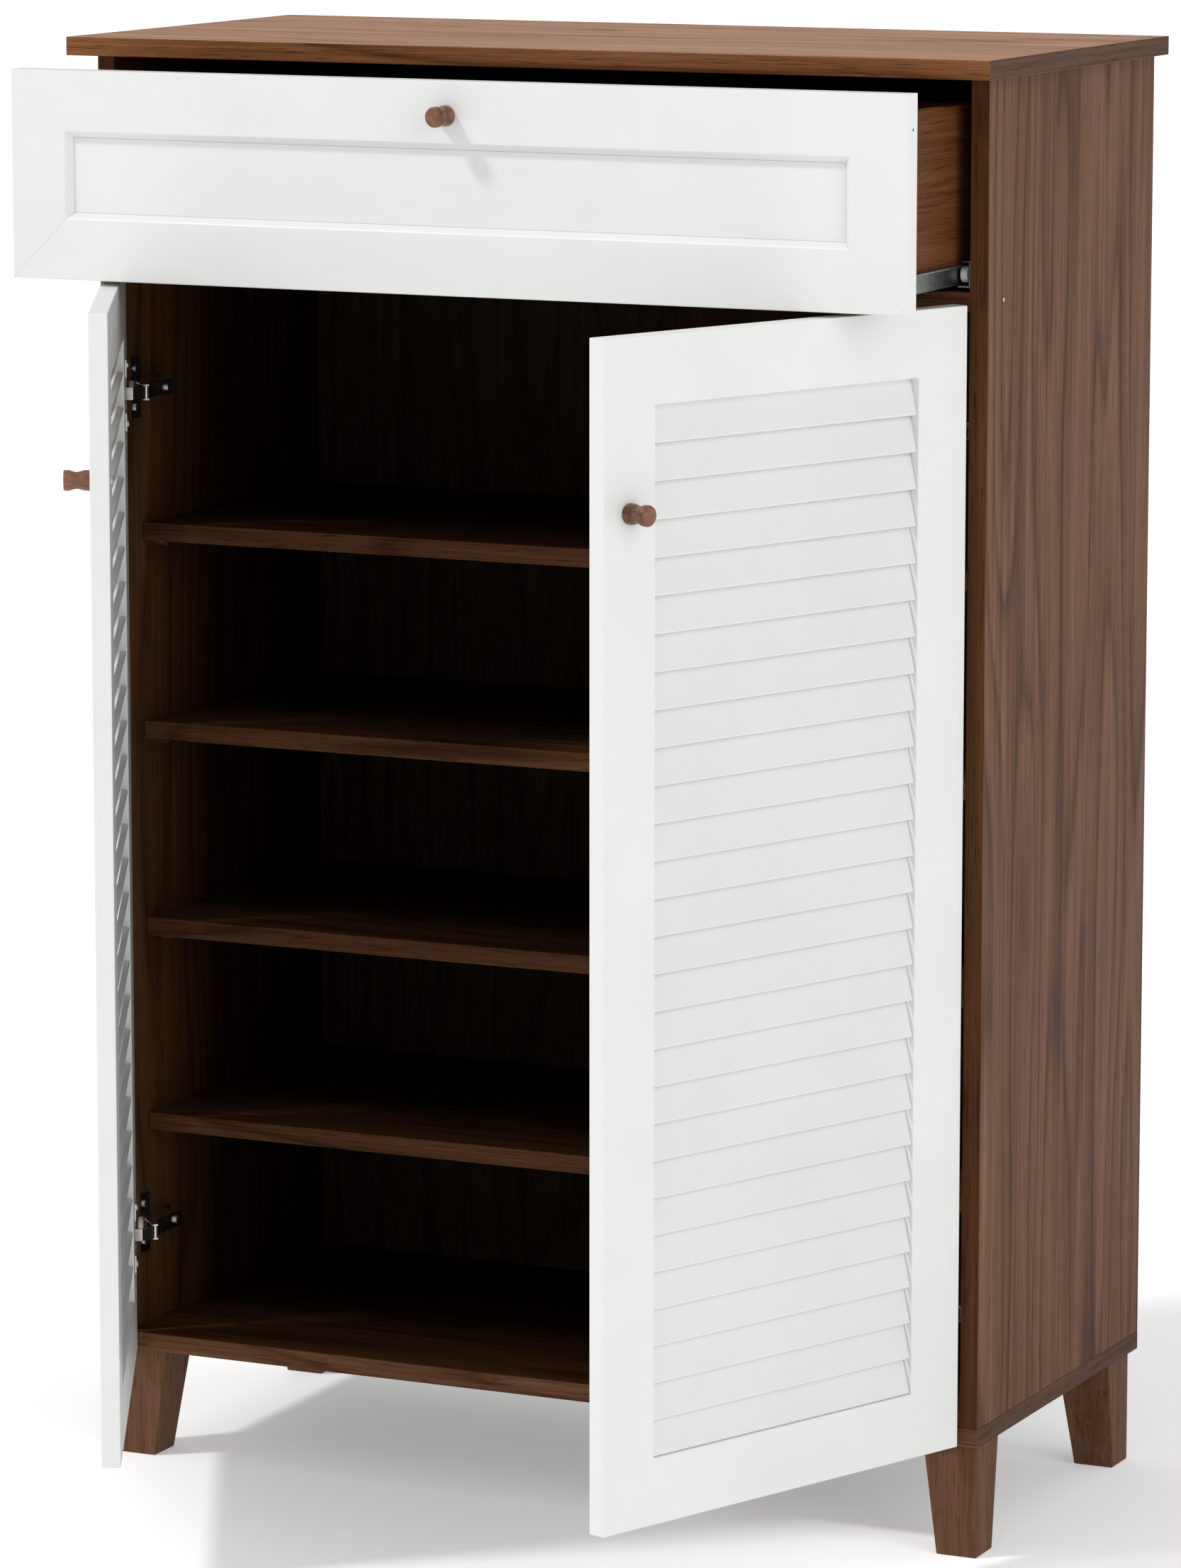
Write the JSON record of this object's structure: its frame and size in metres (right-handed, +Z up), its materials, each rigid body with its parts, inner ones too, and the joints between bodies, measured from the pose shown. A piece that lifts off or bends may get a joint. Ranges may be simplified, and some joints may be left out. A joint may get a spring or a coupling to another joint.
{
  "type": "shoe cabinet",
  "caption": "Tall walnut-coloured shoe cabinet with white louvred doors on concealed hinges, a drawer on roller slides under the top, inner shelves and tapered legs.",
  "frame": {"origin": "on the floor, under the middle of the box round the whole cabinet as it stands at rest, with both doors partly open and the drawer pulled part way out", "axes": "+Z up, -Y towards the front that the doors and drawer open to, +X to the right as seen from the front"},
  "size_m": [0.8, 0.7222, 1.18],
  "materials": {
    "walnut_laminate": "satin laminate with a printed walnut grain",
    "leg_walnut": "satin walnut-coloured solid wood",
    "hardboard": "smooth dark brown hardboard",
    "drawer_laminate": "satin laminate with a printed walnut grain",
    "knob_wood": "lacquered turned wood",
    "white_paint": "satin white lacquer on wood board",
    "nylon": "matt",
    "soft_rubber": "matt",
    "beech": "plain",
    "zinc_steel": "zinc plated",
    "nickel_steel": "nickel plated",
    "plated_steel": "zinc plated"
  },
  "bodies": {
    "cabinet": {"top_panel": "walnut_laminate", "left_side_panel": "walnut_laminate", "right_side_panel": "walnut_laminate", "bottom_panel": "walnut_laminate", "back_panel": "hardboard", "drawer_divider": "walnut_laminate", "shelf_1": "walnut_laminate", "shelf_2": "walnut_laminate", "shelf_3": "walnut_laminate", "shelf_4": "walnut_laminate", "shelf_pins": "plated_steel", "front_left_leg": "leg_walnut", "front_right_leg": "leg_walnut", "back_left_leg": "leg_walnut", "back_right_leg": "leg_walnut", "leg_bolts": "plated_steel", "cam_locks": "plated_steel", "cam_bolts": "plated_steel", "fixing_screws": "plated_steel", "wood_dowels": "beech", "back_panel_nails": "plated_steel", "left_slide_channel": "zinc_steel", "right_slide_channel": "zinc_steel", "hinge_plates": "nickel_steel", "hinge_arms": "nickel_steel", "door_bumpers": "soft_rubber"},
    "front_rollers": {"front_rollers": "nylon"},
    "drawer": {"drawer_front_top": "white_paint", "drawer_front_bottom": "white_paint", "drawer_front_left": "white_paint", "drawer_front_right": "white_paint", "drawer_front_panel": "white_paint", "drawer_left_side": "drawer_laminate", "drawer_right_side": "drawer_laminate", "drawer_back": "drawer_laminate", "drawer_base": "drawer_laminate", "drawer_screws": "plated_steel", "left_drawer_runner": "zinc_steel", "right_drawer_runner": "zinc_steel", "drawer_knob": "knob_wood"},
    "rear_rollers": {"rear_rollers": "nylon"},
    "left_hinge_links": {"left_hinge_links": "nickel_steel"},
    "left_door": {"left_hinge_stile": "white_paint", "left_free_stile": "white_paint", "left_top_rail": "white_paint", "left_bottom_rail": "white_paint", "left_louvres": "white_paint", "left_knob": "knob_wood", "left_door_screws": "plated_steel", "left_hinge_cups": "nickel_steel"},
    "right_hinge_links": {"right_hinge_links": "nickel_steel"},
    "right_door": {"right_hinge_stile": "white_paint", "right_free_stile": "white_paint", "right_top_rail": "white_paint", "right_bottom_rail": "white_paint", "right_louvres": "white_paint", "right_knob": "knob_wood", "right_door_screws": "plated_steel", "right_hinge_cups": "nickel_steel"}
  },
  "joints": [
    {"name": "drawer_slide", "type": "slide", "parent": "cabinet", "child": "drawer", "axis": [0, -1, 0], "range_m": [-0.13, 0.12]},
    {"name": "front_roller_spin", "type": "hinge", "parent": "cabinet", "child": "front_rollers", "pos_m": [0, 0.01615, 1.014], "axis": [1, 0, 0], "continuous": true},
    {"name": "rear_roller_spin", "type": "hinge", "parent": "drawer", "child": "rear_rollers", "pos_m": [0, 0.18915, 1.0125], "axis": [1, 0, 0], "continuous": true},
    {"name": "right_link_turn", "type": "hinge", "parent": "cabinet", "child": "right_hinge_links", "pos_m": [0.347, 0.00465, 0.892], "axis": [0, 0, 1], "range_deg": [-11.75, 34.25]},
    {"name": "right_door_turn", "type": "hinge", "parent": "right_hinge_links", "child": "right_door", "pos_m": [0.36053, -0.01545, 0.892], "axis": [0, 0, 1], "range_deg": [-102.75, 35.25]},
    {"name": "left_link_turn", "type": "hinge", "parent": "cabinet", "child": "left_hinge_links", "pos_m": [-0.347, 0.00465, 0.892], "axis": [0, 0, -1], "range_deg": [-14.5, 31.5]},
    {"name": "left_door_turn", "type": "hinge", "parent": "left_hinge_links", "child": "left_door", "pos_m": [-0.36148, -0.01478, 0.892], "axis": [0, 0, -1], "range_deg": [-94.5, 43.5]}
  ],
  "couplings": [
    {"joint": "right_link_turn", "follows": "right_door_turn", "ratio": -0.33333},
    {"joint": "left_link_turn", "follows": "left_door_turn", "ratio": -0.33333}
  ]
}
